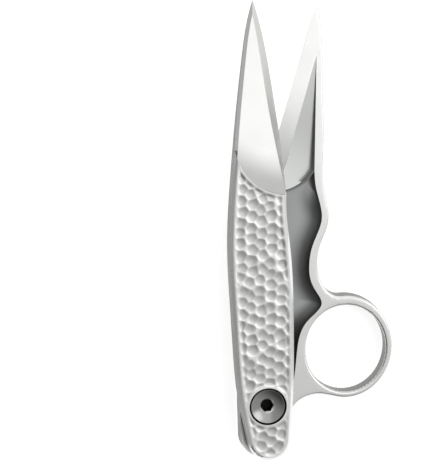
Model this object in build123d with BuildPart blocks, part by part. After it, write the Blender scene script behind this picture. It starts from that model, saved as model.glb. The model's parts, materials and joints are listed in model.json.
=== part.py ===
from build123d import *

import os
from math import cos, radians, sin, sqrt

# Thread snips: two forged steel halves on one pivot screw, held open by a torsion spring.
#
# The snips lie on their back on z = 0, with the blades along +Y and the pivot axis upright. Each
# half is drawn in its own plane, with the pivot axis at the origin and the blades up: closed, the
# two drawings lie over each other. At rest the back half stands turned clockwise by OPEN_ANGLE.
# All sizes are in millimetres and all angles in degrees.

# Driving dimensions of the whole

OPEN_ANGLE = 9.3                     # between the halves at rest, set by the stop pin
PIVOT_X, PIVOT_Y = -11.72, -45.7     # pivot axis, placed so that the whole is centred on the origin
MATE = 5.0                           # top of the back half: rim, blade land and finger ring
GAP = 0.04                           # running gap between the halves
FRONT_BASE = MATE + GAP
TOP = 9.6                            # top of the front half's handle
FLOOR = 2.0                          # metal left behind the back half's tray
ROOF = 7.0                           # top of the front half's hollow

# Outlines, each in its own half's drawing

HANDLE_LEFT = [(-9.85, 42), (-8.85, 22), (-7.0, 0.7)]
BUTT_CENTRE, BUTT_RADIUS = (0.45, -8.75), 5.55
BUTT_START, BUTT_SWEEP = 190, 167    # from the left edge round to the right
FRONT_TIP = (-3.25, 105.7)
FRONT_SPINE = [FRONT_TIP, (-6.2, 90.1), (-7.95, 73.3), (-9.0, 60.4)]
FRONT_RIGHT = [(6.7, 4), (6.8, 20), (5.9, 41), (4.8, 53.8)]
FRONT_EDGE = [(5.1, 57.8), (3.9, 68.6), (2.3, 79.2), (-1.7, 100.4), FRONT_TIP]
BACK_TIP = (-3.5, 106.3)             # longer than the front's by what its rounding takes off
BACK_EDGE = [(-9.05, 60), (-7.55, 73.7), (-5.55, 89.7), (-4.3, 100.4), BACK_TIP]
BACK_SPINE = [(-1.8, 100.7), (2.4, 80.1), (4.3, 69.4), (6.35, 57.4)]
BACK_NOTCH = [(8.95, 48.5), (7.75, 41.9), (8.25, 36.1), (10.9, 31.4)]
BACK_ROOT = [(13.0, 3.7), (8.95, 1.5), (5.8, -3.7)]
BACK_LESS = 0.35                     # how far the back half's left side and butt stand inside the front's
RING_CENTRE, RING_OUTER = (18.5, 16.9), (12.3, 13.4)
HOLE_CENTRE, RING_INNER = (18.7, 16.5), (10.4, 11.35)
RING_TURN = 13.5                     # the oval's long axis leans towards the blades by this angle

# Ground faces and edges

FACE_TILT = 3.6                      # fall of a blade's outer face from the handle to the tip
FACE_STEP = 0.35                     # step down to it from the handle
FACE_RADIUS = 14.3                   # its round lower end
FRONT_FACE_CENTRE, BACK_FACE_CENTRE = (5.6, 69.6), (-8.2, 69.6)
BLADE_MIDDLE = -2.05                 # the line about which the back bevel mirrors the front one
BEVEL_FOOT = 0.1                     # upright land under a cutting bevel
BEVEL_LINE = [(7.8, 44), (-10.2, 111.4)]         # upper line of the front bevel's ruled face
FRONT_RUNOUT = [(6.3, 44), (5.4, 53)]           # where the bevel leaves the handle's edge
BACK_RUNOUT = [(-10.3, 46), (-9.8, 53)]
PAST_TIP = (-4.7, 111.4)
EDGE_BEVEL = 0.75                    # bevel round the front handle's top and along its blade's spine
RING_ROUND = 0.6                     # rounding of the finger ring, the notch and the back spine
UNDER_ROUND = 0.7                    # rounding all round the back face

# Tray and hollow grinding of the back half, hollow of the front half

TRAY_RIGHT = [(3.9, 57.8), (6.95, 49), (5.75, 42.5), (5.65, 37), (7.65, 31.5), (10.5, 27.4), (7.5, 22.3),
              (6.1, 16.6), (6.5, 9.2), (5.9, -0.2)]
TRAY_TOP = [(3.0, 61.5), (0.4, 58.0), (-8.0, 55.1)]
TRAY_ROUND = 1.6                     # rounding between the tray's floor and its wall
WALL = 1.3                           # wall between the tray and the handle's left side and butt
HOLLOW_TOP, HOLLOW_HEEL = (-1.45, 91.8), (-4.6, 62.8)
HOLLOW_DEPTH = 1.8                   # of the hollow-ground face where it meets the tray and the rim
HOLLOW_ROUND = 1.0
FRONT_HOLLOW_LEFT = [(-7.2, 52), (-8.2, 40), (-7.4, 22), (-5.6, 2)]
FRONT_HOLLOW_RIGHT = [(5.4, 2), (5.2, 22), (4.3, 38), (3.0, 50)]

# Pivot

SCREW = 5.0                          # M5
HEAD, HEAD_TOP, HEAD_RIM = 9.2, 9.35, 0.6       # head's diameter, its top and its upright rim
DISH = 0.9                           # depth of the dished head
SOCKET, SOCKET_DEPTH, SOCKET_TURN = 3.0, 3.0, 3     # across the flats, depth, turn
SCREW_FOOT = 0.7
SEAT_GAP = 0.25                      # round the head, in the front half's recess
FIT_HEAD, FIT_SHANK = 0.05, 0.03     # running clearance on the radius
BOSS_R, BUSH_R, NUT_R, NUT_HEAD_R = 4.3, 3.3, 3.5, 4.6
BUSH_LENGTH = 1.3
NUT_HEAD, NUT_INSET, NUT_SLOT = 1.2, 0.2, 1.2   # flange, how far it lies inside, screwdriver slot
WASHER_FOOT = 4.4                    # the thrust washer reaches from here up to MATE

# Spring and pins

WIRE, COIL_R, TURNS = 0.9, 4.9, 3.5
SPRING_LOW, SPRING_HIGH = 2.6, 6.4   # heights of the two legs
LEG = 24.0                           # from the pivot axis up to the posts
POST_R = 0.8
EYE_R = POST_R + 0.1 + WIRE / 2
EYE_TURN = 265                       # how far each leg's eye closes round its post
PIN_FOOT = 0.9                       # foot of the pins in the back half
PIN_BOSS = 0.9                       # metal round them
POST_GAP = 0.4                       # between a post's end and the mating plane
STOP_R, STOP_REACH = 1.2, 9.6
STOP_BOSS_TOP = 3.4
SLOT_DEPTH = 2.8


def front_plane(z):
    """The front half's drawing at height z."""
    return Plane(origin=(PIVOT_X, PIVOT_Y, z))


def back_plane(z):
    """The back half's drawing at height z, turned clockwise by OPEN_ANGLE."""
    turn = radians(OPEN_ANGLE)
    return Plane(origin=(PIVOT_X, PIVOT_Y, z), x_dir=(cos(turn), -sin(turn), 0), z_dir=(0, 0, 1))


def in_back_drawing(point):
    """A point of the front half's drawing at rest, read in the back half's."""
    turned = Vector(*point).rotate(Axis.Z, OPEN_ANGLE)
    return (turned.X, turned.Y)


def mirrored(point):
    """A point of the front blade carried over to the back blade."""
    return (2 * BLADE_MIDDLE - point[0], point[1])


def butt_arc(inset=0):
    """The round end of a handle, or the same arc that much further in."""
    return CenterArc(BUTT_CENTRE, BUTT_RADIUS - inset, BUTT_START, BUTT_SWEEP)


def face_cutter(drawing, centre, rise):
    """What is ground off a blade's outer face: beyond a falling plane, with a round lower end."""
    base = drawing(MATE)
    height = TOP - MATE if rise > 0 else -MATE
    origin = base.from_local_coords(Vector(0, centre[1] - FACE_RADIUS, height - rise * FACE_STEP))
    slope = radians(FACE_TILT)
    normal = base.y_dir * sin(slope) + base.z_dir * (cos(slope) * rise)
    length = PAST_TIP[1] - centre[1]
    with BuildPart() as cutter:
        with BuildSketch(base):
            with Locations(centre):
                Circle(FACE_RADIUS)
                Rectangle(2 * FACE_RADIUS, length, align=(Align.CENTER, Align.MIN))
        extrude(amount=rise * TOP)
        split(bisect_by=Plane(origin=origin, z_dir=normal), keep=Keep.TOP)
    return cutter.part


def bevel_cutter(drawing, edge, line, side, rise):
    """What is ground off behind a cutting edge: beyond a ruled face from the edge to a line inboard."""
    foot = (FRONT_BASE if rise > 0 else MATE) + rise * BEVEL_FOOT
    outside = side * 16
    with BuildPart() as cutter:
        with BuildSketch(drawing(foot)):
            with BuildLine():
                inner = Spline(*[(x + side * BEVEL_FOOT / 2, y) for x, y in edge])
                Polyline(inner @ 1, (outside, edge[-1][1]), (outside, edge[0][1]), inner @ 0)
            make_face()
        with BuildSketch(drawing(foot + rise * (TOP - MATE))):
            with BuildLine():
                Polyline(*line, (outside, line[1][1]), (outside, line[0][1]), close=True)
            make_face()
        loft(ruled=True)
    return cutter.part


FRONT_POST_PLACE = (EYE_R - COIL_R, LEG)
BACK_POST_PLACE = in_back_drawing((COIL_R - EYE_R, LEG))
STOP_PLACE = (0, -STOP_REACH)
STOP_TRAVEL = CenterArc((0, 0), STOP_REACH, 270 - OPEN_ANGLE, OPEN_ANGLE)
PIVOT_AXIS = Axis((PIVOT_X, PIVOT_Y, 0), (0, 0, 1))
PIVOT_SECTION = Plane(origin=(PIVOT_X, PIVOT_Y, 0), x_dir=(1, 0, 0), z_dir=(0, -1, 0))
HEAD_FOOT = HEAD_TOP - HEAD_RIM

# Front half: blade and handle forged in one, the blade's outer face ground flat and the handle
# hollow underneath. The pivot boss stands down inside it, and a curved slot takes the stop pin.

with BuildPart() as front_half:
    with BuildSketch(front_plane(FRONT_BASE)):
        with BuildLine():
            butt = butt_arc()
            Spline(*FRONT_SPINE, *HANDLE_LEFT, butt @ 0, tangents=[(-0.35, -1), butt % 0])
            Spline(butt @ 1, *FRONT_RIGHT, FRONT_EDGE[0], tangents=[butt % 1, (0.12, 1)])
            Spline(*FRONT_EDGE)
        make_face()
    extrude(amount=TOP - FRONT_BASE)
    chamfer(front_half.faces().sort_by(Axis.Z)[-1].edges().sort_by(Axis.X)[0], EDGE_BEVEL)
    add(face_cutter(front_plane, FRONT_FACE_CENTRE, rise=1), mode=Mode.SUBTRACT)
    add(bevel_cutter(front_plane, [*FRONT_RUNOUT, *FRONT_EDGE, PAST_TIP], BEVEL_LINE, side=1, rise=1),
        mode=Mode.SUBTRACT)
    spine = front_half.edges().filter_by(lambda e: e.center().Y > PIVOT_Y + 80 and e.length > 30)
    chamfer(spine.filter_by(lambda e: e.center().X < PIVOT_X - 5 and e.center().Z > MATE + 1), EDGE_BEVEL)
    # Hollow, from the pivot's spring seat to below the blade.
    with BuildSketch(front_plane(FRONT_BASE)):
        with BuildLine():
            left = Spline(*FRONT_HOLLOW_LEFT)
            right = Spline(*FRONT_HOLLOW_RIGHT)
            Line(left @ 0, right @ 1)
            ThreePointArc(left @ 1, (0, -COIL_R - WIRE), right @ 0)
        make_face()
        Circle(BOSS_R, mode=Mode.SUBTRACT)
    extrude(amount=ROOF - FRONT_BASE, mode=Mode.SUBTRACT)
    # Seat of the pivot screw: recess round the head, cone, and the bush's bore.
    with BuildSketch(PIVOT_SECTION):
        with BuildLine():
            cone = HEAD / 2 + FIT_HEAD
            recess = HEAD / 2 + SEAT_GAP
            Polyline((0, TOP), (recess, TOP), (recess, HEAD_FOOT), (cone, HEAD_FOOT),
                     (BUSH_R, HEAD_FOOT - cone + BUSH_R), (BUSH_R, FRONT_BASE), (0, FRONT_BASE), close=True)
        make_face()
    revolve(axis=PIVOT_AXIS, mode=Mode.SUBTRACT)
    # Curved slot for the stop pin, as long as the opening angle needs.
    with BuildSketch(front_plane(FRONT_BASE)):
        SlotArc(STOP_TRAVEL, 2 * (STOP_R + FIT_HEAD))
    extrude(amount=SLOT_DEPTH, mode=Mode.SUBTRACT)
    with BuildSketch(front_plane(ROOF)):
        with Locations(FRONT_POST_PLACE):
            Circle(POST_R)
    extrude(amount=PIN_FOOT, mode=Mode.SUBTRACT)
front_half.part.label = "front_half"

# Cutters of the back half: its blade's inner face is ground hollow, deepest along the rim, and
# the tray behind the handle is cast deep, with a round-bottomed wall.

with BuildPart() as hollow_grind:
    with BuildSketch(back_plane(MATE)):
        with BuildLine():
            end = ThreePointArc(TRAY_TOP[0], TRAY_TOP[1], (HOLLOW_HEEL[0], TRAY_TOP[2][1]))
            Polyline(end @ 1, HOLLOW_HEEL, HOLLOW_TOP, end @ 0)
        make_face()
    extrude(amount=-2 * HOLLOW_DEPTH)
    drawing = back_plane(MATE)
    heel = drawing.from_local_coords(Vector(*HOLLOW_HEEL, 0))
    across = drawing.from_local_coords(Vector(*TRAY_TOP[0], -HOLLOW_DEPTH)) - heel
    along = drawing.from_local_coords(Vector(*HOLLOW_TOP, 0)) - heel
    split(bisect_by=Plane(origin=heel, z_dir=across.cross(along)), keep=Keep.TOP)
    foot_edges = hollow_grind.faces().sort_by(Axis.Z)[0].edges()
    fillet(foot_edges.filter_by(GeomType.LINE).sort_by(Axis.X)[-1], HOLLOW_ROUND)

with BuildPart() as back_tray:
    with BuildSketch(back_plane(FLOOR)):
        with BuildLine():
            butt = butt_arc(BACK_LESS + WALL)
            inner_left = [(x + BACK_LESS + WALL, y) for x, y in reversed(HANDLE_LEFT)]
            Spline(TRAY_TOP[0], *TRAY_RIGHT, butt @ 1, tangents=[(0.2, -1), (butt % 1) * -1])
            Spline(butt @ 0, *inner_left, TRAY_TOP[2], tangents=[(butt % 0) * -1, (0.05, 1)])
            ThreePointArc(*TRAY_TOP)
        make_face()
    extrude(amount=MATE - FLOOR + 1)
    fillet(back_tray.faces().sort_by(Axis.Z)[0].edges(), TRAY_ROUND)

# Back half: the same forging on the other side, with the finger ring on its right. A flat rim runs
# from the blade's spine down through the finger notch into the ring's face.

with BuildPart() as back_half:
    with BuildSketch(back_plane(0)):
        with BuildLine():
            butt = butt_arc(BACK_LESS)
            outer_left = [(x + BACK_LESS, y) for x, y in HANDLE_LEFT]
            Spline(*reversed(BACK_EDGE), *outer_left, butt @ 0, tangents=[(-0.15, -1), butt % 0])
            ring = EllipticalCenterArc(RING_CENTRE, *RING_OUTER, -90, arc_size=180, rotation=RING_TURN)
            Spline(BACK_TIP, *BACK_SPINE, *BACK_NOTCH, ring @ 1, tangents=[(0.3, -1), (ring % 1) * -1])
            root = Spline(ring @ 0, *BACK_ROOT, tangents=[(ring % 0) * -1, (-0.7, -1)])
            Line(root @ 1, butt @ 1)
        make_face()
        with Locations(HOLE_CENTRE):
            Ellipse(*RING_INNER, rotation=RING_TURN, mode=Mode.SUBTRACT)
    extrude(amount=MATE)
    fillet(back_half.faces().sort_by(Axis.Z)[0].edges(), UNDER_ROUND)
    fillet(back_half.faces().sort_by(Axis.Z)[-1].edges().filter_by(GeomType.ELLIPSE), RING_ROUND)
    add(face_cutter(back_plane, BACK_FACE_CENTRE, rise=-1), mode=Mode.SUBTRACT)
    add(bevel_cutter(back_plane, [*BACK_RUNOUT, *BACK_EDGE, PAST_TIP],
                     [mirrored(point) for point in BEVEL_LINE], side=-1, rise=-1), mode=Mode.SUBTRACT)
    add(hollow_grind.part, mode=Mode.SUBTRACT)
    add(back_tray.part, mode=Mode.SUBTRACT)
    # Round seat of the spring's coil, the pivot boss in it, and the nut's bore and flange recess.
    with BuildSketch(back_plane(FLOOR)):
        Circle(COIL_R + WIRE)
    extrude(amount=MATE, mode=Mode.SUBTRACT)
    with BuildSketch(back_plane(0)):
        Circle(BOSS_R)
    extrude(amount=WASHER_FOOT)
    with BuildSketch(back_plane(0)):
        Circle(NUT_R)
    extrude(amount=MATE, mode=Mode.SUBTRACT)
    with BuildSketch(back_plane(0)):
        Circle(NUT_HEAD_R)
    extrude(amount=NUT_INSET + NUT_HEAD, mode=Mode.SUBTRACT)
    # Bosses and holes of the stop pin and the spring post.
    for place, radius, boss_top in [(STOP_PLACE, STOP_R, STOP_BOSS_TOP), (BACK_POST_PLACE, POST_R, FLOOR)]:
        with BuildSketch(back_plane(PIN_FOOT)):
            with Locations(place):
                Circle(radius + PIN_BOSS)
        extrude(amount=boss_top - PIN_FOOT)
        with BuildSketch(back_plane(PIN_FOOT)):
            with Locations(place):
                Circle(radius)
        extrude(amount=MATE, mode=Mode.SUBTRACT)
back_half.part.label = "back_half"

# Pivot screw: M5 countersunk, with a dished, mirror-polished head and a hexagon socket. It is
# screwed tight into the nut, so it stands still while the front half turns round it.

with BuildPart() as pivot_screw:
    with BuildSketch(PIVOT_SECTION):
        with BuildLine():
            rim, shank, lip = HEAD / 2, SCREW / 2, 0.25
            Polyline((0, SCREW_FOOT), (shank - lip, SCREW_FOOT), (shank, SCREW_FOOT + lip),
                     (shank, HEAD_FOOT - rim + shank), (rim, HEAD_FOOT), (rim, HEAD_TOP),
                     (rim - lip, HEAD_TOP))
            ThreePointArc((rim - lip, HEAD_TOP), (rim / 2, HEAD_TOP - 0.75 * DISH), (0, HEAD_TOP - DISH))
            Line((0, HEAD_TOP - DISH), (0, SCREW_FOOT))
        make_face()
    revolve(axis=PIVOT_AXIS)
    with BuildSketch(front_plane(HEAD_TOP)):
        RegularPolygon(SOCKET / 2, 6, major_radius=False, rotation=SOCKET_TURN)
    extrude(amount=-SOCKET_DEPTH, mode=Mode.SUBTRACT)
    # Chamfer at the socket's mouth.
    with BuildSketch(PIVOT_SECTION):
        with BuildLine():
            mouth = SOCKET / sqrt(3) + lip
            Polyline((0, HEAD_TOP), (mouth, HEAD_TOP), (mouth, HEAD_TOP - DISH + lip / 2),
                     (0, HEAD_TOP - DISH + lip / 2 - mouth), close=True)
        make_face()
    revolve(axis=PIVOT_AXIS, mode=Mode.SUBTRACT)
pivot_screw.part.label = "pivot_screw"

# Pivot nut: a sleeve nut pressed into the back half, its slotted flange let into the back face.

with BuildPart() as pivot_nut:
    with BuildSketch(back_plane(NUT_INSET)):
        Circle(NUT_HEAD_R)
    extrude(amount=NUT_HEAD)
    with BuildSketch(back_plane(NUT_INSET + NUT_HEAD)):
        Circle(NUT_R)
    extrude(amount=WASHER_FOOT - NUT_INSET - NUT_HEAD)
    with BuildSketch(back_plane(NUT_INSET)):
        Circle(SCREW / 2)
    extrude(amount=MATE, mode=Mode.SUBTRACT)
    with BuildSketch(back_plane(NUT_INSET)):
        Rectangle(2 * NUT_HEAD_R, NUT_SLOT)
    extrude(amount=NUT_SLOT / 2, mode=Mode.SUBTRACT)
pivot_nut.part.label = "pivot_nut"

# Thrust washer and pivot bush: bearing bronze. The washer lies between the two pivot bosses, and
# the bush is pressed into the front half, below the screw's cone.

with BuildPart() as thrust_washer:
    with BuildSketch(back_plane(WASHER_FOOT)):
        Circle(BOSS_R)
        Circle(SCREW / 2 + FIT_SHANK, mode=Mode.SUBTRACT)
    extrude(amount=MATE - WASHER_FOOT)
thrust_washer.part.label = "thrust_washer"

with BuildPart() as pivot_bush:
    with BuildSketch(front_plane(FRONT_BASE)):
        Circle(BUSH_R)
        Circle(SCREW / 2 + FIT_SHANK, mode=Mode.SUBTRACT)
    extrude(amount=BUSH_LENGTH)
pivot_bush.part.label = "pivot_bush"

# Opening spring: hard wire coiled round the bosses. The lower leg runs up inside the back half and
# the upper one inside the front half, and each ends in an open eye round its post.

with BuildPart() as opening_spring:
    with BuildLine(front_plane(SPRING_LOW)) as wire:
        climb = SPRING_HIGH - SPRING_LOW
        CenterArc((COIL_R - EYE_R, LEG), EYE_R, 0, EYE_TURN)
        Line((COIL_R, LEG), (COIL_R, 0))
        Helix(climb / TURNS, climb, COIL_R, lefthand=True)
        Line((-COIL_R, 0, climb), (-COIL_R, LEG, climb))
        CenterArc((EYE_R - COIL_R, LEG, climb), EYE_R, 180, -EYE_TURN)
    path = wire.wires()[0]
    with BuildSketch(Plane(origin=path @ 0, z_dir=path % 0)):
        Circle(WIRE / 2)
    sweep(path=path, transition=Transition.TRANSFORMED)
opening_spring.part.label = "opening_spring"

# Spring posts and stop pin: hardened dowels pressed into the halves.

with BuildPart() as front_spring_post:
    with BuildSketch(front_plane(FRONT_BASE + POST_GAP)):
        with Locations(FRONT_POST_PLACE):
            Circle(POST_R)
    extrude(amount=ROOF + PIN_FOOT - FRONT_BASE - POST_GAP)
front_spring_post.part.label = "front_spring_post"

with BuildPart() as back_spring_post:
    with BuildSketch(back_plane(PIN_FOOT)):
        with Locations(BACK_POST_PLACE):
            Circle(POST_R)
    extrude(amount=MATE - POST_GAP - PIN_FOOT)
back_spring_post.part.label = "back_spring_post"

with BuildPart() as stop_pin:
    with BuildSketch(back_plane(PIN_FOOT)):
        with Locations(STOP_PLACE):
            Circle(STOP_R)
    extrude(amount=FRONT_BASE + SLOT_DEPTH - POST_GAP - PIN_FOOT)
    chamfer(stop_pin.faces().sort_by(Axis.Z)[-1].edges(), POST_GAP / 2)
stop_pin.part.label = "stop_pin"

os.makedirs("parts", exist_ok=True)
for piece in [front_half, back_half, pivot_screw, pivot_nut, thrust_washer, pivot_bush, opening_spring,
              front_spring_post, back_spring_post, stop_pin]:
    export_step(piece.part, f"parts/{piece.part.label}.step")
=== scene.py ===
import json
from math import ceil, cos, pi, radians, sin

import bmesh
import bpy
import numpy as np
from mathutils import Matrix, Vector, geometry


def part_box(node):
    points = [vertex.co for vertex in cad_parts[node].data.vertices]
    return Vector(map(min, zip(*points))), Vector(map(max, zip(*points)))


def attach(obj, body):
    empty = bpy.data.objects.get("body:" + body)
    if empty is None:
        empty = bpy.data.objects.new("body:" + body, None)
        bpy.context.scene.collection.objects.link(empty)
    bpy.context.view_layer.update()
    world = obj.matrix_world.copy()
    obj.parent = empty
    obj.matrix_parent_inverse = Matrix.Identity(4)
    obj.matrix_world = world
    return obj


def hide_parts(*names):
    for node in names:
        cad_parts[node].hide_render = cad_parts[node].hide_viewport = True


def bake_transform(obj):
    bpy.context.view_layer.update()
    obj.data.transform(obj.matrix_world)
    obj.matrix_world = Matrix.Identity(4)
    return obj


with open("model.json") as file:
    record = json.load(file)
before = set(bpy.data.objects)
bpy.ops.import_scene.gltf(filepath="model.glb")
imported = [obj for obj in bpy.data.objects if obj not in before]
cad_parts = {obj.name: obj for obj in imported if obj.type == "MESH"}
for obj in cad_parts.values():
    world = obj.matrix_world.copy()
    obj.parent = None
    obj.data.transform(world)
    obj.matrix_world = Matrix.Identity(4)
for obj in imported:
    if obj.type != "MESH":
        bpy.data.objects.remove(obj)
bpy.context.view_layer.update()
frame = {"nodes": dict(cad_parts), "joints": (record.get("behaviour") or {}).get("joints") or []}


# ---- Front half -----------------------------------------------------------------------------
# One drop forging in stainless cutlery steel: a blade ground flat and polished on its outer face,
# and a handle whose top is struck all over with a round punch. It is hollow underneath.

MM = 0.001
PIVOT = Vector(frame["joints"][0]["pos_m"])
FRONT_FOOT, FRONT_TOP = (corner.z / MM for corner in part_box("front_half"))
BLADE_SHADE_CENTRE = PIVOT + Vector((12.0, 100.0, 0)) * MM      # beside the tip, from which the blade face's painted shade is measured


def linear(code):
    """A colour written as sRGB hex, as the linear RGBA that a socket takes."""
    channels = [int(code[i:i + 2], 16) / 255 for i in (0, 2, 4)]
    return [c / 12.92 if c < 0.04045 else ((c + 0.055) / 1.055) ** 2.4 for c in channels] + [1.0]


def add_node(tree, kind, inputs=None, **settings):
    """Adds a node with its settings. An input given as an output socket is linked to it."""
    made = tree.nodes.new(kind)
    for name, value in settings.items():
        setattr(made, name, value)
    for name, value in (inputs or {}).items():
        if isinstance(value, bpy.types.NodeSocket):
            tree.links.new(value, made.inputs[name])
        else:
            made.inputs[name].default_value = value
    return made


def worked_steel(name, colour, dull, bright, grain, depth, turn=0.0, blotch=9.0, fade=None):
    """A metal whose finish is the marks that a tool left: grain is their size in millimetres along X and
    Y, depth how deep they are, turn their direction. Its gloss drifts in blotches between two values.
    fade is a second colour, a centre, how much each axis counts in the distance from it, and the two
    distances in millimetres between which the second colour comes in."""
    made = bpy.data.materials.new(name)
    made.use_nodes = True
    tree = made.node_tree
    tree.nodes.clear()
    place = add_node(tree, "ShaderNodeTexCoord").outputs["Object"]
    along = add_node(tree, "ShaderNodeMapping", {
        "Vector": place, "Rotation": (0, 0, turn),
        "Scale": (1 / (grain[0] * MM), 1 / (grain[1] * MM), 1 / (min(grain) * MM))})
    marks = add_node(tree, "ShaderNodeTexNoise", {
        "Vector": along.outputs["Vector"], "Scale": 1.0, "Detail": 3.0, "Roughness": 0.6})
    clouds = add_node(tree, "ShaderNodeTexNoise", {
        "Vector": place, "Scale": 1 / (blotch * MM), "Detail": 2.0})
    gloss = add_node(tree, "ShaderNodeMapRange", {
        "Value": clouds.outputs["Fac"], "From Min": 0.3, "From Max": 0.7, "To Min": bright, "To Max": dull})
    bump = add_node(tree, "ShaderNodeBump", {
        "Height": marks.outputs["Fac"], "Strength": 1.0, "Distance": depth * MM})
    shader = add_node(tree, "ShaderNodeBsdfPrincipled", {
        "Base Color": linear(colour), "Metallic": 1.0,
        "Roughness": gloss.outputs["Result"], "Normal": bump.outputs["Normal"]})
    if fade:
        other, centre, axes, near, far = fade
        from_centre = add_node(tree, "ShaderNodeVectorMath", {0: place, 1: centre}, operation="SUBTRACT")
        counted = add_node(tree, "ShaderNodeVectorMath", {
            0: from_centre.outputs["Vector"], 1: axes}, operation="MULTIPLY")
        away = add_node(tree, "ShaderNodeVectorMath", {0: counted.outputs["Vector"]}, operation="LENGTH")
        share = add_node(tree, "ShaderNodeMapRange", {
            "Value": away.outputs["Value"], "From Min": near * MM, "From Max": far * MM},
            interpolation_type="SMOOTHSTEP")
        tint = add_node(tree, "ShaderNodeMix", {
            "Factor": share.outputs["Result"], 6: linear(colour), 7: linear(other)}, data_type="RGBA")
        tree.links.new(tint.outputs[2], shader.inputs["Base Color"])
    add_node(tree, "ShaderNodeOutputMaterial", {"Surface": shader.outputs["BSDF"]})
    return made


# Stainless steel buffed on a soft wheel: bright, with faint marks along the blade. The marks are
# drawn several times as wide as they are.
polished_stainless = worked_steel(
    "polished_stainless_steel", "e6e6e4", 0.30, 0.24, (0.25, 6.0), 0.0005)
# The front blade's face, with painted shade: greyer towards the round end by the handle.
blade_face_painted_shade = worked_steel(
    "blade_face_painted_shade_stainless_steel", "ececea", 0.30, 0.24, (0.25, 6.0), 0.0005,
    fade=("b6b6b4", BLADE_SHADE_CENTRE, (1, 1, 0), 34.8, 43.2))
# The same steel struck with a punch, tumbled and buffed over. Its colour is lighter on the ridges and a
# shade greyer in the hollows, from 0.04 to 0.20 mm down.
hammered_stainless = worked_steel(
    "hammered_buffed_stainless_steel", "eeeeec", 0.42, 0.36, (0.5, 0.5), 0.0010,
    fade=("cececc", Vector((0, 0, FRONT_TOP * MM)), (0, 0, 1), 0.04, 0.20))
# Ground on a wheel across the edge and not buffed: parallel lines that dull it, drawn several times
# as wide as they are.
ground_stainless = worked_steel(
    "wheel_ground_stainless_steel", "d0d0ce", 0.36, 0.30, (3.0, 0.16), 0.0010)
# Blasted with glass beads: an even grey that scatters light. The beads' marks are drawn three times
# their size.
blasted_stainless = worked_steel(
    "bead_blasted_stainless_steel", "b4b6b5", 0.56, 0.48, (0.3, 0.3), 0.0060)
# The forging's upright flanks, painted a dark grey beside the bright tops: painted shade on the walls.
# Their marks are drawn several times their size.
flank_painted_shade = worked_steel(
    "flank_painted_shade_stainless_steel", "7c7c7a", 0.44, 0.36, (0.4, 0.4), 0.0015)
# Black painted shade, for the dark gaps round the screw's head, in its socket and under the butt's broken
# edge.
black_painted_shade = worked_steel("black_painted_shade_steel", "1c1c1c", 0.50, 0.40, (0.3, 0.3), 0.0010)


def spread(solid, start, stops_at):
    """The faces that can be reached from a few without crossing one that stops_at is true of."""
    found, border = set(start), list(start)
    while border:
        for edge in border.pop().edges:
            for face in edge.link_faces:
                if face not in found and not stops_at(face):
                    found.add(face)
                    border.append(face)
    return found


def welded(node):
    """A closed copy of a solid's mesh, with the corners that its faces share joined. Each face keeps the
    number of the smooth surface that it came from."""
    made = bmesh.new()
    made.from_mesh(frame["nodes"][node].data)
    surface = made.faces.layers.int.new("surface")
    count = 0
    for first in made.faces:
        if first[surface] == 0:
            count += 1
            for face in spread(made, [first], lambda f: False):
                face[surface] = count
    bmesh.ops.remove_doubles(made, verts=made.verts, dist=0.002 * MM)
    made.normal_update()
    return made


SAME_HEIGHT = 0.003            # mm, two heights that differ by less are the same
LEVEL = 0.99                   # a face whose normal stands up by more than this is level


def flat_at(solid, height, up):
    """The flat faces of a solid at a height in millimetres that look up (1) or down (-1)."""
    return [f for f in solid.faces if f.normal.z * up > LEVEL
            and all(abs(v.co.z / MM - height) < SAME_HEIGHT for v in f.verts)]


def nearest_edge(points, starts, ends):
    """The distance from each point to the nearest of some straight edges, in the plane."""
    nearest = np.full(len(points), np.inf)
    for start, end in zip(starts, ends):
        run = end - start
        share = np.clip(((points - start) @ run) / max(run @ run, 1e-12), 0, 1)
        nearest = np.minimum(nearest, np.linalg.norm(points - start - share[:, None] * run, axis=1))
    return nearest


def inside(points, starts, ends):
    """Which points lie within the closed loops that some edges make: an odd number of crossings."""
    crossings = np.zeros(len(points), int)
    for (x0, y0), (x1, y1) in zip(starts, ends):
        if y0 != y1:
            level = (points[:, 1] >= min(y0, y1)) & (points[:, 1] < max(y0, y1))
            crossings += level & (points[:, 0] < x0 + (points[:, 1] - y0) * (x1 - x0) / (y1 - y0))
    return crossings % 2 == 1


COLUMN_STEP = 0.866            # between the columns of a triangular grid, as a share of its pitch


def grid_over(low, high, pitch):
    """A triangular grid of points that covers a rectangle, in upright columns."""
    columns = np.arange(low[0], high[0] + pitch, pitch * COLUMN_STEP)
    rows = np.arange(low[1], high[1] + pitch, pitch)
    x, y = np.meshgrid(columns, rows)
    y = y + (np.arange(len(columns)) % 2) * pitch / 2
    return np.column_stack([x.ravel(), y.ravel()])


def rows_beside(starts, ends, distance, spacing):
    """A row of points on either side of some edges, at a distance from them."""
    rows = []
    for start, end in zip(starts, ends):
        run = end - start
        length = np.hypot(*run)
        count = ceil(length / spacing)
        shares = (np.arange(count) + 0.5)[:, None] / count
        side = np.array([-run[1], run[0]]) / length * distance
        rows += [start + shares * run + side, start + shares * run - side]
    return np.vstack(rows)


PUNCH_PITCH = 2.95             # mm between the middles of two punch marks
PUNCH_WANDER = 0.22            # how far a mark strays from its place, as a share of that
PUNCH_DEPTH = (0.24, 0.30)     # mm, the lightest and the heaviest blow
PUNCH_RADIUS = (4.9, 6.3)      # mm, the ball of the punch as it bites
RIDGE = 0.025                  # mm, how far the tumbling has rounded the ridges between marks
HAMMER_MESH = 0.20             # mm between the points of the struck face
ROLL_SHARE = 0.8               # how far a rolled edge drops, as a share of its width
PLAIN_RIM = 0.28               # mm along the border that no punch mark reaches
EDGE_ROWS = (0.10, 0.30)       # mm from the struck face's border to the rows of points along it
BUFFED_WIDTH, BUFFED_DEPTH = 0.70, 0.08        # mm, how the left edge is buffed over


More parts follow.
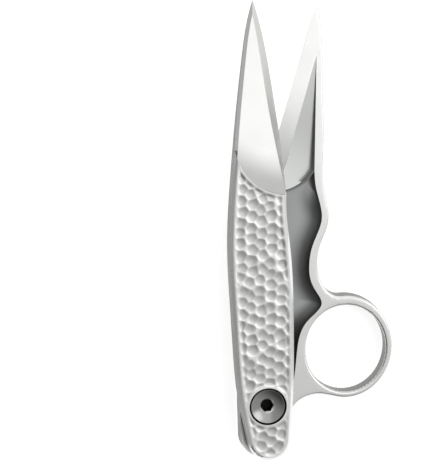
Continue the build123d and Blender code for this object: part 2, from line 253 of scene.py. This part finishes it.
def punch_depth(points, seed):
    """How deep the punch marks go at each point. Where two marks meet, the deeper one is left."""
    random = np.random.default_rng(seed)
    marks = grid_over(points.min(0) - PUNCH_PITCH, points.max(0) + PUNCH_PITCH, PUNCH_PITCH)
    marks += random.uniform(-PUNCH_WANDER, PUNCH_WANDER, marks.shape) * PUNCH_PITCH
    blows = random.uniform(*PUNCH_DEPTH, len(marks))
    balls = random.uniform(*PUNCH_RADIUS, len(marks))
    deepest = np.full(len(points), -1e3)
    total = np.zeros(len(points))
    for mark, blow, ball in zip(marks, blows, balls):
        depth = blow - ((points - mark) ** 2).sum(1) / (2 * ball)
        new = np.maximum(deepest, depth)
        total = total * np.exp((deepest - new) / RIDGE) + np.exp((depth - new) / RIDGE)
        deepest = new
    return np.maximum(deepest + RIDGE * np.log(total), 0)


def smooth_step(values, width):
    """0 at or below zero and 1 from width up, rising smoothly between."""
    share = np.clip(values / width, 0, 1)
    return share * share * (3 - 2 * share)


def upright(face):
    """Whether a face is a wall."""
    return abs(face.normal.z) < 0.1


def left_bevel(face):
    """Whether a face is the bevel along the left of a struck face."""
    return face.normal.x < -0.3 and 0.3 < face.normal.z < 0.9


def work(solid, faces, pitch, depth, keeps=None, rows=(), wall=upright):
    """Meshes a flat face of a solid finely and works it: depth gives how far each point is sunk, in
    millimetres, from its place, its distance to the border and to the border that it shares with a
    wall. keeps says which points are worked at all. rows are the distances from the border of rows
    of points that follow it. wall says which neighbours are the wall. Returns the new faces."""
    faces = set(faces)
    one = next(iter(faces))
    normal, origin = one.normal.copy(), one.verts[0].co / MM
    rim = [e for e in solid.edges if sum(f in faces for f in e.link_faces) == 1]
    corners = list({v for e in rim for v in e.verts})
    number = {v: i for i, v in enumerate(corners)}
    border = np.array([v.co.xy for v in corners]) / MM
    pairs = np.array([(number[e.verts[0]], number[e.verts[1]]) for e in rim])
    starts, ends = border[pairs[:, 0]], border[pairs[:, 1]]
    walled = [all(f in faces or wall(f) for f in e.link_faces) for e in rim]

    points = grid_over(border.min(0), border.max(0), pitch)
    points = points[inside(points, starts, ends)]
    if keeps:
        points = points[keeps(points)]
    # The grid keeps half a pitch off the border and off the last row.
    away = nearest_edge(points, starts, ends)
    clear = away > pitch * 0.5 + max(rows, default=0)
    points, away = points[clear], away[clear]
    # A row has a point every two pitches, and none that lies nearer to another edge than to its own.
    for distance in rows:
        row = rows_beside(starts, ends, distance, pitch * 2)
        row = row[inside(row, starts, ends)]
        row = row[nearest_edge(row, starts, ends) > distance * 0.98]
        points, away = np.vstack([points, row]), np.append(away, np.full(len(row), distance))
    plane = np.vstack([border, points])
    sunk = depth(plane, np.concatenate([np.zeros(len(border)), away]),
                 nearest_edge(plane, starts[walled], ends[walled]))
    level = origin.z - (plane - origin.xy) @ normal.xy / normal.z - np.sign(normal.z) * sunk
    made_points, _, triangles, origins, _, _ = geometry.delaunay_2d_cdt(
        [Vector(p) for p in plane], pairs.tolist(), [], 0, 1e-5, True)
    bmesh.ops.delete(solid, geom=list(faces), context="FACES")
    placed = []
    for point, origin in zip(made_points, origins):
        if origin[0] < len(corners):
            placed.append(corners[origin[0]])
        else:
            placed.append(solid.verts.new((point[0] * MM, point[1] * MM, 0)))
        placed[-1].co.z = level[origin[0]] * MM
    middles = np.array([(made_points[a] + made_points[b] + made_points[c]) / 3 for a, b, c in triangles])
    kept = inside(middles, starts, ends)
    new = []
    for triangle, keep in zip(triangles, kept):
        if keep:
            around = [placed[i] for i in triangle]
            new.append(solid.faces.new(around if normal.z > 0 else reversed(around)))
    solid.normal_update()
    return new


def rolled_off(distance, width):
    """How far a rolled edge drops at a distance from it."""
    left = np.clip(1 - distance / width, 0, 1)
    return width * ROLL_SHARE * (1 - np.sqrt(1 - left ** 2))


def buffed_away(distance):
    """How far the buffing wheel has taken down a face beside a bevel, at a distance from it."""
    return BUFFED_DEPTH * np.clip(1 - distance / BUFFED_WIDTH, 0, 1) ** 2


def hammer(solid, height, up, seed, fade, struck=None):
    """Strikes a flat face with the punch, more and more lightly towards its border, and buffs its left edge
    over where struck isn't given. struck says how fully each point is struck."""
    def depth(points, away, to_wall):
        sunk = punch_depth(points, seed) * smooth_step(away - PLAIN_RIM, fade)
        return sunk * struck(points) if struck else sunk + buffed_away(to_wall)
    return work(solid, flat_at(solid, height, up), HAMMER_MESH, depth, wall=left_bevel,
                keeps=struck and (lambda points: struck(points) > 0), rows=() if struck else EDGE_ROWS)


ONE_WAY = 0.99999              # two normals whose product is more than this point the same way


def finished(solid, name, finishes, sharp=26.0, crease=1.5):
    """The finished piece. An edge is left sharp where it turns more than sharp degrees, or more than
    crease degrees between two flat surfaces. Large faces keep their true normals."""
    surface = solid.faces.layers.int["surface"]
    first, flat = {}, {}
    for face in solid.faces:
        face.smooth = True
        number = face[surface]
        same_way = first.setdefault(number, face.normal.copy()).dot(face.normal) > ONE_WAY
        flat[number] = flat.get(number, number > 0) and same_way
    for edge in solid.edges:
        one, other = (f[surface] for f in edge.link_faces)
        limit = crease if one != other and flat[one] and flat[other] else sharp
        edge.smooth = edge.calc_face_angle() < radians(limit)
    mesh = bpy.data.meshes.new(name)
    solid.to_mesh(mesh)
    solid.free()
    for finish in finishes:
        mesh.materials.append(finish)
    piece = bpy.data.objects.new(name, mesh)
    bpy.context.scene.collection.objects.link(piece)
    weighting = piece.modifiers.new("true_normals", "WEIGHTED_NORMAL")
    weighting.keep_sharp = True
    weighting.weight = 80
    return piece


FRONT_ROOF = 7.0               # mm, top of the hollow underneath
BLADE_START = 44.0             # mm above the pivot, where the cutting bevel begins
SEAT = 4.95                    # mm from the axis, just outside the recess round the screw's head
SEAT_TOP = 0.05                # mm below the front's top, just below the recess's rim
FLANK = 0.35                   # how far a flank's normal may lean up or down
BROKEN_END = 4.0               # mm above the pivot, where the broken lower edge has died away
BROKEN_FADE = 6.0              # mm below that, over which it comes in
BROKEN_ROWS = (0.1, 0.3, 0.7, 1.2)     # mm in from the edge: the last one is how wide it is broken
BROKEN_RISE = 0.02             # mm, a face that is raised by more is part of the broken edge
PLAIN_MESH = 0.8               # mm between the points of a face that has no marks

front = welded("front_half")
struck_faces = hammer(front, FRONT_TOP, 1, seed=7, fade=1.05)


def broken_edge(points, away, to_wall):
    """The butt's lower edge is broken; its faces take the black painted shade, for the dark line between
    the halves.
    """
    below_end = PIVOT.y / MM + BROKEN_END - points[:, 1]
    return rolled_off(to_wall, BROKEN_ROWS[-1]) * smooth_step(below_end, BROKEN_FADE)


front_finishes = [polished_stainless, hammered_stainless, ground_stainless, blasted_stainless,
                  blade_face_painted_shade, black_painted_shade, flank_painted_shade]


def front_finish(face):
    """The finish of a face of the front half that is neither struck nor in the hollow."""
    middle = (face.calc_center_median() - PIVOT) / MM
    if middle.y > BLADE_START and face.normal.x > 0.3 and face.normal.z > 0.2:
        return ground_stainless
    if middle.y > BLADE_START and face.normal.z > LEVEL:
        return blade_face_painted_shade
    # The recess round the screw's head takes the black painted shade.
    if middle.xy.length < SEAT and middle.z + PIVOT.z / MM < FRONT_TOP - SEAT_TOP:
        return black_painted_shade
    # Upright faces take the flanks' painted shade.
    return flank_painted_shade if abs(face.normal.z) < FLANK else polished_stainless


def give(faces, finish, finishes):
    """Gives faces one of their piece's finishes, or the one that finish chooses for each."""
    for face in faces:
        face.material_index = finishes.index(finish(face) if callable(finish) else finish)


hollow = spread(front, flat_at(front, FRONT_ROOF, -1),
                lambda f: all(abs(v.co.z / MM - FRONT_FOOT) < SAME_HEIGHT for v in f.verts))
foot = work(front, flat_at(front, FRONT_FOOT, -1), PLAIN_MESH, broken_edge, rows=BROKEN_ROWS)
broken = [f for f in foot if max(v.co.z for v in f.verts) > (FRONT_FOOT + BROKEN_RISE) * MM]
give(front.faces, front_finish, front_finishes)
give(struck_faces, hammered_stainless, front_finishes)
give(hollow, blasted_stainless, front_finishes)
# The broken edge's faces are painted black: painted shade between the halves.
give(broken, black_painted_shade, front_finishes)
front_piece = finished(front, "front_forging", front_finishes)
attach(front_piece, "front")
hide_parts("front_half")


# ---- Back half ------------------------------------------------------------------------------
# The same forging for the other side, with the finger ring. Its rim and ring are buffed bright, the
# tray behind them is left bead-blasted, and the blade's inner face is hollow-ground.

# At rest the back half stands turned clockwise by this.
OPEN = radians(-frame["joints"][0]["range_deg"][0])
BACK_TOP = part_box("back_half")[1].z / MM
TRAY_FLOOR = 2.0               # mm above the back's underside
TRAY_MESH = 0.45               # mm between the points of the tray's floor
# The rest are millimetres in the back's own drawing, from the pivot.
STRUCK_WIDTH = 6.6             # how far to the right the handle is struck
STRUCK_LENGTH = 54.0           # how far up
STRUCK_FADE = 0.8              # over which the punch marks end there
STRUCK_RISE = 0.002            # a face that is raised by more is struck
TRAY_MIDDLE = 3.0              # to the right, between the tray's two long walls
COVE = 5.2                     # how far the wall's cove reaches over the tray's floor
COVE_FOOT, COVE_FADE = 12.0, 6.0       # how far up the cove begins, and over which it comes in
COVE_END = 7.0                 # from the facet, over which the cove dies away
FACET_FOOT = 3.1               # height just below the lowest point of the hollow-ground facet
LAND_START, LAND_END = 55.0, 91.8      # how far up the blade's flat land runs
HEEL, HEEL_SLOPE = (-4.6, 62.8), 0.1086        # the line between the land and the facet
BLADE_END = PIVOT + Vector((13.7, 105.5, 0)) * MM      # beside the tip, from which the painted shade and sheen of two faces fade


def back_drawing(points):
    """Places in millimetres, read in the back half's own drawing: the pivot at 0 and the blade up."""
    x, y = points[:, 0] - PIVOT.x / MM, points[:, 1] - PIVOT.y / MM
    return np.column_stack([x * cos(OPEN) - y * sin(OPEN), x * sin(OPEN) + y * cos(OPEN)])


def struck_back(points):
    """The back's handle is struck, and its ring and blade aren't."""
    x, y = back_drawing(points).T
    return smooth_step(STRUCK_WIDTH - x, STRUCK_FADE) * smooth_step(STRUCK_LENGTH - y, STRUCK_FADE)


# Ground hollow on a wheel, with its lines along the blade, drawn several times as wide as they are.
# It has a painted sheen: brighter towards its round end.
hollow_ground_stainless = worked_steel(
    "hollow_ground_stainless_steel", "bcbebc", 0.34, 0.28, (0.18, 3.0), 0.0008, turn=OPEN,
    fade=("e4e7e4", BLADE_END, (1, 1, 0), 30.0, 54.0))
# The land behind the cutting edge, lapped flat and bright, with painted shade: greyer towards the heel.
land_stainless = worked_steel(
    "lapped_land_stainless_steel", "ececea", 0.30, 0.24, (0.25, 5.0), 0.0004, turn=OPEN,
    fade=("b0b0ae", BLADE_END, (1, 1, 0), 20.0, 51.0))
# Blasted like the front's hollow, an even grey, with painted shade: darker up the cove towards the wall.
tray_with_painted_shade = worked_steel(
    "bead_blasted_painted_cove_shade_steel", "b4b6b5", 0.56, 0.48, (0.3, 0.3), 0.0060,
    fade=("8c8e8d", Vector((0, 0, TRAY_FLOOR * MM)), (0, 0, 1), 0.02, 0.9))
# Struck and buffed like the front's top, with lighter ridges and greyer hollows: the ridges stand on the
# table.
hammered_back_stainless = worked_steel(
    "hammered_buffed_back_stainless_steel", "eeeeec", 0.42, 0.36, (0.5, 0.5), 0.0010,
    fade=("cececc", Vector((0, 0, 0)), (0, 0, 1), 0.04, 0.20))

back = welded("back_half")
struck_faces = hammer(back, 0.0, -1, seed=19, fade=0.7, struck=struck_back)
rim_level = (BACK_TOP - SAME_HEIGHT) * MM      # just below the rim's top
floor_level = (TRAY_FLOOR + 0.01) * MM         # just above the tray's floor
tray = spread(back, flat_at(back, TRAY_FLOOR, 1),
              lambda f: f.normal.z < -0.2 or all(v.co.z > rim_level for v in f.verts))


def middle_of(face):
    """The middle of a face, in the back's own drawing."""
    return back_drawing(np.array([face.calc_center_median().xy]) / MM)[0]


facet = {f for f in tray if f.normal.z > 0.2 and min(v.co.z for v in f.verts) > FACET_FOOT * MM
         and middle_of(f)[1] > LAND_START}


def border_of(faces):
    """The edges round some faces of the back half."""
    return [e for e in back.edges if sum(f in faces for f in e.link_faces) == 1]


def in_plan(edges):
    """The starts and the ends of edges in the plane, in millimetres."""
    return [np.array([e.verts[i].co.xy for e in edges]) / MM for i in (0, 1)]


brink = [e for e in border_of(tray) if all(v.co.z > rim_level for v in e.verts)
         and min(back_drawing(np.array([v.co.xy for v in e.verts]) / MM)[:, 0]) > TRAY_MIDDLE]
brink_starts, brink_ends = in_plan(brink)
facet_starts, facet_ends = in_plan(border_of(facet))


def tray_rise(points):
    """How far the tray's floor rises towards the wall on the ring's side: a wide round cove. It dies
    away towards the pivot and the hollow-ground facet."""
    left = np.clip(1 - nearest_edge(points, brink_starts, brink_ends) / COVE, 0, 1)
    rise = (BACK_TOP - TRAY_FLOOR) * (1 - np.sqrt(1 - left ** 2))
    rise *= smooth_step(back_drawing(points)[:, 1] - COVE_FOOT, COVE_FADE)
    return rise * smooth_step(nearest_edge(points, facet_starts, facet_ends), COVE_END)


def back_finish(face):
    """The finish of a face of the back half that isn't worked."""
    if face in facet:
        return hollow_ground_stainless
    if face in tray:
        return tray_with_painted_shade
    # Upright faces take the flanks' painted shade.
    return flank_painted_shade if abs(face.normal.z) < FLANK else polished_stainless


def rim_finish(face):
    """The finish of a face on the back's flat top: bare land on the blade, and buffed rim elsewhere."""
    x, y = middle_of(face)
    on_land = y > LAND_START and x < HEEL[0] + (y - HEEL[1]) * HEEL_SLOPE
    return land_stainless if on_land or y > LAND_END else polished_stainless


wall_points = [v for v in {v for f in tray - facet for v in f.verts}
               if floor_level < v.co.z < rim_level and not any(f in facet for f in v.link_faces)]
for vertex, rise in zip(wall_points, tray_rise(np.array([v.co.xy for v in wall_points]) / MM)):
    vertex.co.z = max(vertex.co.z, (TRAY_FLOOR + rise) * MM)

back_finishes = [polished_stainless, hammered_back_stainless, hollow_ground_stainless,
                 tray_with_painted_shade, land_stainless, flank_painted_shade]
give(back.faces, back_finish, back_finishes)
floor = work(back, flat_at(back, TRAY_FLOOR, 1), TRAY_MESH,
             lambda points, away, to_wall: -tray_rise(points))
give(floor, tray_with_painted_shade, back_finishes)
rim = work(back, flat_at(back, BACK_TOP, 1), PLAIN_MESH, lambda points, away, to_wall: away * 0)
give(rim, rim_finish, back_finishes)
marked = [f for f in struck_faces if any(v.co.z > STRUCK_RISE * MM for v in f.verts)]
give(marked, hammered_back_stainless, back_finishes)
back_piece = finished(back, "back_forging", back_finishes)
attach(back_piece, "back")
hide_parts("back_half")


# ---- Pivot ----------------------------------------------------------------------------------
# An M5 screw with a dished, lapped head and a hexagon socket. It goes down through a bronze bush
# and a bronze washer into a slotted nut that is pressed into the back half.

# Alloy steel, turned and lapped: smooth enough to show the lights as soft patches, and greyer than
# the stainless forgings.
lapped_steel = worked_steel("lapped_alloy_steel", "9a9a98", 0.24, 0.18, (0.6, 0.6), 0.0002)
# Turned free-cutting steel: brighter than the screw, and duller for the tool's marks.
turned_steel = worked_steel("turned_steel", "bdbdbb", 0.34, 0.26, (0.2, 0.2), 0.0008)
# Sintered bearing bronze: brown, with a soft shine from the oil in its pores.
bearing_bronze = worked_steel("oiled_bearing_bronze", "b08a54", 0.46, 0.36, (0.2, 0.2), 0.0015)


def finish_node(node, finish):
    """Gives a carried-over solid its finish."""
    slots = frame["nodes"][node].material_slots
    if not slots:
        frame["nodes"][node].data.materials.append(finish)
    for each in slots:
        each.material = finish


HEAD_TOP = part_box("pivot_screw")[1].z / MM
HEAD_EDGE = 4.30               # mm from the axis, inside the flat lip round the dish
SOCKET_RIM = 2.05              # mm from the axis, just outside the socket's chamfer
SOCKET_MOUTH = 1.27            # mm below the head's top, at the foot of the socket's chamfer
screw_finishes = [lapped_steel, black_painted_shade, polished_stainless]


def screw_finish(face):
    """Black painted shade in the gap round the head and in the socket, a painted highlight on the chamfer,
    and the lapped dish between.
    """
    depth = HEAD_TOP - face.calc_center_median().z / MM
    reaches = [(v.co - PIVOT).xy.length / MM for v in face.verts]
    # The gap round the head and the socket take the black painted shade.
    if min(reaches) > HEAD_EDGE or depth > SOCKET_MOUTH:
        return black_painted_shade
    # The socket's chamfer takes the bright stainless: a painted highlight.
    return polished_stainless if max(reaches) < SOCKET_RIM else lapped_steel


screw = welded("pivot_screw")
give(screw.faces, screw_finish, screw_finishes)
screw_piece = finished(screw, "dished_screw", screw_finishes)
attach(screw_piece, "back")
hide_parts("pivot_screw")
finish_node("pivot_nut", turned_steel)
finish_node("pivot_bush", bearing_bronze)
finish_node("thrust_washer", bearing_bronze)


# ---- Spring, its posts and the stop pin -----------------------------------------------------
# Hard-drawn wire coiled round the pivot bosses, with an eye hooked over a dowel in each half. It winds up
# as the snips close, but here it is one fixed coil that moves with neither half. A third, thicker dowel
# stops them opening.

SPRING_LOW, SPRING_HIGH = 2.6, 6.4     # mm, heights of the two legs
COIL, LEG, TURNS = 4.9, 24.0, 3.5      # mm, mm and whole turns
WIRE, EYE, EYE_TURN = 0.9, 1.35, radians(265)  # mm, mm and how far round its post an eye goes
EYE_STEPS, COIL_STEPS = 40, 240        # points along an eye and along the coil

# Hard-drawn spring wire: the die leaves it a dark grey, slightly dull skin.
drawn_wire = worked_steel("drawn_spring_wire", "8f9091", 0.42, 0.34, (0.15, 0.15), 0.0008)
# Hardened dowel steel, ground all round: an even, silky grey.
ground_dowel = worked_steel("ground_dowel_steel", "a9aaab", 0.28, 0.22, (0.15, 0.15), 0.0004)


def arc(middle, radius, start, sweep, low, high, steps):
    """Points along an arc, or along a helix where its two heights differ."""
    shares = np.linspace(0, 1, steps)
    return [(middle[0] + radius * cos(start + sweep * s), middle[1] + radius * sin(start + sweep * s),
             low + (high - low) * s) for s in shares]


route = arc((COIL - EYE, LEG), EYE, EYE_TURN, -EYE_TURN, SPRING_LOW, SPRING_LOW, EYE_STEPS)
route += arc((0, 0), COIL, 0, -2 * pi * TURNS, SPRING_LOW, SPRING_HIGH, COIL_STEPS)
route += arc((EYE - COIL, LEG), EYE, pi, -EYE_TURN, SPRING_HIGH, SPRING_HIGH, EYE_STEPS)
line = bpy.data.curves.new("spring_line", "CURVE")
line.dimensions = "3D"
line.bevel_depth = WIRE / 2 * MM
line.bevel_resolution = 5
line.use_fill_caps = True
wire = line.splines.new("POLY")
wire.points.add(len(route) - 1)
for point, (x, y, z) in zip(wire.points, route):
    point.co = (PIVOT.x + x * MM, PIVOT.y + y * MM, z * MM, 1)
spring_line = bpy.data.objects.new("spring_line", line)
spring_mesh = bpy.data.meshes.new_from_object(spring_line)
bpy.data.objects.remove(spring_line)
spring_mesh.shade_smooth()
spring_mesh.materials.append(drawn_wire)
spring = bpy.data.objects.new("coiled_spring", spring_mesh)
bpy.context.scene.collection.objects.link(spring)
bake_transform(spring)
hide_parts("opening_spring")

finish_node("front_spring_post", ground_dowel)
finish_node("back_spring_post", ground_dowel)
finish_node("stop_pin", ground_dowel)


# ---- Table, light and camera ----------------------------------------------------------------
# A white laminate table in a white room that is dimmer on the left, lit by a large softbox, a small
# one that is aimed at the screw, and three cards. The camera looks down from a little to the left
# of the snips and beyond their tips.

HALF_TABLE = 4.0               # m, from its middle to each edge
TABLE_GLOW = 0.76              # how bright the laminate shows of itself, as a share of white
BRIGHT_SIDE = (0.54, 0.59, 0.25)       # towards the room's bright side
FOOT_HEIGHT = 0.45             # how far up the walls are lit from below, as the height of a direction

table_mesh = bpy.data.meshes.new("table")
corners = [(x * HALF_TABLE, y * HALF_TABLE, 0) for x, y in ((-1, -1), (1, -1), (1, 1), (-1, 1))]
table_mesh.from_pydata(corners, [], [(0, 1, 2, 3)])
table = bpy.data.objects.new("table", table_mesh)
bpy.context.scene.collection.objects.link(table)
# Satin white laminate: it scatters light evenly, and shows white to the camera and in the metal.
white_laminate = bpy.data.materials.new("white_laminate")
white_laminate.use_nodes = True
tree = white_laminate.node_tree
tree.nodes.clear()
seen = add_node(tree, "ShaderNodeLightPath")
top = add_node(tree, "ShaderNodeBsdfDiffuse", {"Color": linear("d0d0d0")})
mirrored = add_node(tree, "ShaderNodeMath", {
    0: seen.outputs["Is Glossy Ray"], 1: seen.outputs["Is Transmission Ray"]}, operation="MAXIMUM")
shown = add_node(tree, "ShaderNodeMath", {
    0: seen.outputs["Is Camera Ray"], 1: mirrored.outputs["Value"]}, operation="MAXIMUM")
lift = add_node(tree, "ShaderNodeMath", {
    0: shown.outputs["Value"], 1: TABLE_GLOW}, operation="MULTIPLY")
glow = add_node(tree, "ShaderNodeEmission", {
    "Color": linear("ffffff"), "Strength": lift.outputs["Value"]})
mixed = add_node(tree, "ShaderNodeAddShader", {0: top.outputs["BSDF"], 1: glow.outputs["Emission"]})
add_node(tree, "ShaderNodeOutputMaterial", {"Surface": mixed.outputs["Shader"]})
table_mesh.materials.append(white_laminate)

room = bpy.data.worlds.new("white_room")
room.use_nodes = True
bpy.context.scene.world = room
tree = room.node_tree
tree.nodes.clear()
toward = add_node(tree, "ShaderNodeTexCoord").outputs["Generated"]
side = add_node(tree, "ShaderNodeVectorMath", {0: toward, 1: BRIGHT_SIDE}, operation="DOT_PRODUCT")
walls = add_node(tree, "ShaderNodeMapRange", {
    "Value": side.outputs["Value"], "From Min": -0.35, "From Max": 0.15, "To Min": 0.08, "To Max": 0.68})
height = add_node(tree, "ShaderNodeMath", {
    0: add_node(tree, "ShaderNodeSeparateXYZ", {"Vector": toward}).outputs["Z"]}, operation="ABSOLUTE")
from_below = add_node(tree, "ShaderNodeMapRange", {
    "Value": height.outputs["Value"], "From Min": 0.0, "From Max": FOOT_HEIGHT,
    "To Min": 0.55, "To Max": 0.0})
both = add_node(tree, "ShaderNodeMath", {
    0: walls.outputs["Result"], 1: from_below.outputs["Result"]}, operation="ADD")
sky = add_node(tree, "ShaderNodeBackground", {
    "Color": linear("ffffff"), "Strength": both.outputs["Value"]})
add_node(tree, "ShaderNodeOutputWorld", {"Surface": sky.outputs["Background"]})


def softbox(name, place, aim, size, level):
    """A rectangular softbox at a place in metres that shines at a point, as bright as a share of white."""
    light = bpy.data.lights.new(name, "AREA")
    light.shape = "RECTANGLE"
    light.size, light.size_y = size
    light.energy = level * pi * size[0] * size[1]
    lamp = bpy.data.objects.new(name, light)
    lamp.location = place
    lamp.rotation_euler = (Vector(aim) - Vector(place)).to_track_quat("-Z", "Y").to_euler()
    lamp.visible_camera = False
    bpy.context.scene.collection.objects.link(lamp)


softbox("overhead", (0.19, 0.09, 0.30), (0.19, 0.09, 0), (0.40, 0.32), 0.56)
softbox("key", (0.19, 0.02, 0.25), PIVOT, (0.13, 0.13), 1.2)
softbox("right_card", (0.50, -0.10, 0.20), (0, 0, 0), (0.60, 0.26), 0.10)
softbox("low_card", (-0.25, -0.45, 0.05), PIVOT, (0.50, 0.10), 1.0)
softbox("left_card", (-0.50, 0.13, 0.14), (0, 0.13, 0), (0.55, 0.12), 0.15)

CAMERA_LEAN = Vector((-0.191, 0.238, 1.0))     # from the snips towards the camera
CAMERA_AIM = Vector((-14.0, 45.55, 0)) * MM + PIVOT
CAMERA_DISTANCE = 5.0                          # m
VIEW_HEIGHT = 118.1                            # mm of the snips from the top of the view to the bottom

camera_data = bpy.data.cameras.new("camera")
camera_data.sensor_width = 36
camera_data.lens = camera_data.sensor_width * CAMERA_DISTANCE / (VIEW_HEIGHT * MM)
camera_data.clip_start, camera_data.clip_end = 0.05, 20
camera = bpy.data.objects.new("camera", camera_data)
bpy.context.scene.collection.objects.link(camera)
back_axis = CAMERA_LEAN.normalized()
right_axis = Vector((0, 1, 0)).cross(back_axis).normalized()
up_axis = back_axis.cross(right_axis)
turned = Matrix((right_axis, up_axis, back_axis)).transposed().to_4x4()
camera.matrix_world = Matrix.Translation(CAMERA_AIM + back_axis * CAMERA_DISTANCE) @ turned
bpy.context.scene.camera = camera
bpy.context.scene.view_settings.view_transform = "Standard"
